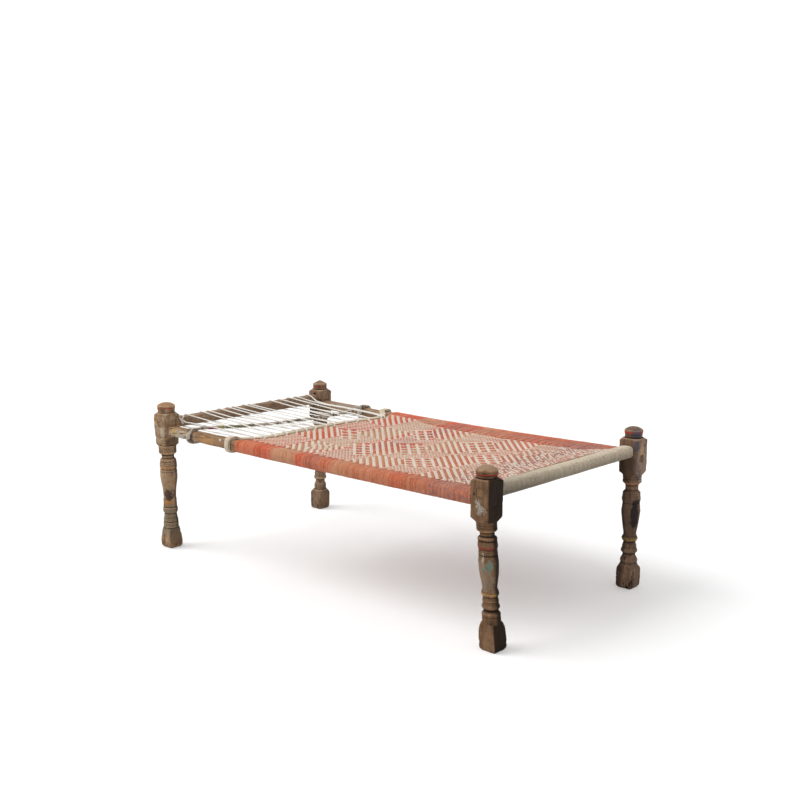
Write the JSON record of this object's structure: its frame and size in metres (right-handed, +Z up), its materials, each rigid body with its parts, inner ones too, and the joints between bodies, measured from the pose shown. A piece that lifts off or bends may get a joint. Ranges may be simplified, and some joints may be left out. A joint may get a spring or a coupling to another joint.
{
  "type": "rope cot",
  "caption": "Traditional low rope cot: turned wooden legs, tenoned rails, a cord-woven seat in a diamond pattern wrapped over the rails, and a rope-laced foot end.",
  "frame": {"origin": "on the floor under the middle of the bed's outline", "axes": "+Z up; X along the bed with the head end at +X; Y across the bed, +Y to the left of someone who looks towards the head"},
  "size_m": [1.7852, 0.9538, 0.6237],
  "materials": {
    "leg_wood": "worn, with old paint",
    "rail_wood": "hewn and weathered",
    "woven_cord": "matt",
    "head_cord": "matt",
    "flat_rope": "matt",
    "lacing": "matt"
  },
  "bodies": {
    "root": {"leg_head_near": "leg_wood", "leg_head_far": "leg_wood", "leg_foot_near": "leg_wood", "leg_foot_far": "leg_wood", "side_rail_near": "rail_wood", "side_rail_far": "rail_wood", "head_rail": "rail_wood", "foot_rail": "rail_wood", "side_wrap_near": "woven_cord", "side_wrap_far": "woven_cord", "head_wrap": "head_cord", "woven_seat": "woven_cord", "border_rope": "flat_rope", "cross_rope": "flat_rope", "lacing_cord": "lacing"}
  },
  "joints": []
}
